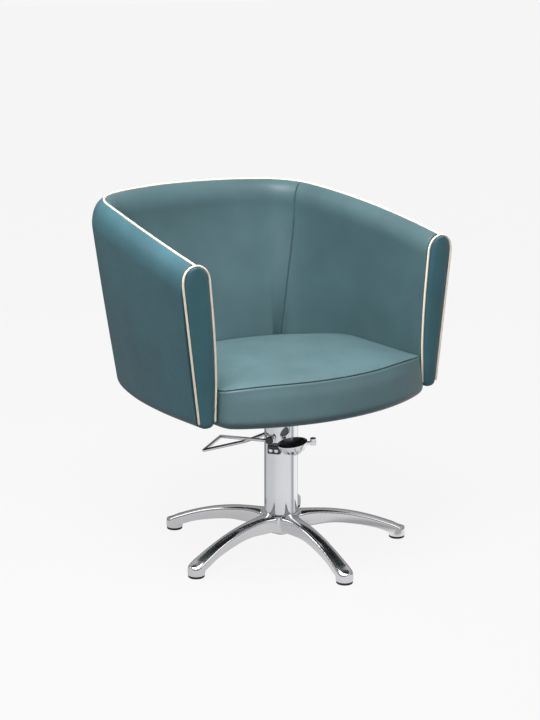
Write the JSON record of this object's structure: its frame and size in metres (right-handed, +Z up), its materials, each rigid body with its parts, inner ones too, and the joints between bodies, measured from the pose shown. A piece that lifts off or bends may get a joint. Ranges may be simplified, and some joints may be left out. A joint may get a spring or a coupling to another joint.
{
  "type": "hydraulic styling chair",
  "caption": "Upholstered tub chair with contrast piping on a chrome hydraulic pump column with foot lever and lock pedal, over a polished star base.",
  "frame": {"origin": "on the column axis at floor level, under the centre of the five glides", "axes": "+Z up along the column; the seat opens towards -Y, so +X is to the right of someone who looks at the front of the chair"},
  "size_m": [0.6802, 0.6888, 0.7504],
  "materials": {
    "polished_aluminium": "polished cast aluminium",
    "column_chrome": "bright chrome plate",
    "lever_chrome": "bright chrome plate",
    "zinc_steel": "zinc-plated steel",
    "black_steel": "satin black powder coat",
    "bronze": "machined bronze",
    "black_rubber": "moulded black rubber",
    "black_gloss": "glossy black plastic",
    "plywood": "birch plywood",
    "black_cloth": "non-woven black cloth",
    "seat_vinyl": "teal upholstery vinyl with a fine grain",
    "shell_vinyl": "teal upholstery vinyl with a fine grain",
    "inner_vinyl": "teal upholstery vinyl with a fine grain",
    "cream_piping": "cream vinyl piping"
  },
  "bodies": {
    "base": {"star_base": "polished_aluminium", "base_nut": "zinc_steel", "foot_pad_1": "black_rubber", "foot_pad_2": "black_rubber", "foot_pad_3": "black_rubber", "foot_pad_4": "black_rubber", "foot_pad_5": "black_rubber", "foot_screws": "zinc_steel", "pump_cylinder": "zinc_steel", "lower_sleeve": "column_chrome", "upper_sleeve": "column_chrome", "pump_head": "column_chrome", "guide_bush": "bronze", "wiper_seal": "black_rubber", "pump_block": "black_gloss", "block_screws": "lever_chrome", "pivot_screws": "black_gloss", "hinge_pin": "zinc_steel"},
    "ram": {"ram": "column_chrome", "piston_seal": "black_rubber", "thrust_bearing": "zinc_steel", "spindle_nut": "zinc_steel"},
    "seat": {"seat_plate": "black_steel", "plate_bolts": "zinc_steel", "seat_board": "plywood", "dust_cover": "black_cloth", "seat_cushion": "seat_vinyl", "outer_shell": "shell_vinyl", "tub_frame": "plywood", "arm_pad_right": "inner_vinyl", "arm_pad_left": "inner_vinyl", "back_pad": "inner_vinyl", "rim_piping": "cream_piping", "arm_front_right": "shell_vinyl", "arm_front_left": "shell_vinyl", "arm_piping_right": "cream_piping", "arm_piping_left": "cream_piping"},
    "lever": {"pump_lever": "lever_chrome"},
    "plunger": {"pump_plunger": "zinc_steel"},
    "lock": {"lock_pedal": "lever_chrome", "dish_insert": "black_gloss", "lock_knob": "lever_chrome"},
    "lock_pin": {"lock_pin": "zinc_steel"}
  },
  "joints": [
    {"name": "seat_lift", "type": "slide", "parent": "base", "child": "ram", "axis": [0, 0, 1], "range_m": [0, 0.15]},
    {"name": "seat_swivel", "type": "hinge", "parent": "ram", "child": "seat", "pos_m": [0, 0, 0.33], "axis": [0, 0, 1], "continuous": true},
    {"name": "pump_lever", "type": "hinge", "parent": "base", "child": "lever", "pos_m": [-0.00726, 0.00956, 0.247], "axis": [-0.7965, -0.6046, 0], "range_deg": [0, 22], "stiffness_Nm_per_rad": 4, "springref_deg": -20.05},
    {"name": "pump_plunger", "type": "slide", "parent": "base", "child": "plunger", "axis": [0, 0, -1], "range_m": [0, 0.0076]},
    {"name": "lock_pedal", "type": "hinge", "parent": "base", "child": "lock", "pos_m": [-0.01256, -0.03798, 0.232], "axis": [0.9494, -0.314, 0], "range_deg": [0, 10], "stiffness_Nm_per_rad": 3, "springref_deg": -11.46},
    {"name": "lock_pin", "type": "slide", "parent": "base", "child": "lock_pin", "axis": [0.314, 0.9494, 0], "range_m": [0, 0.0023]}
  ],
  "couplings": [
    {"joint": "pump_plunger", "follows": "pump_lever", "m_per_rad": 0.01927},
    {"joint": "lock_pin", "follows": "lock_pedal", "m_per_rad": 0.012605}
  ]
}
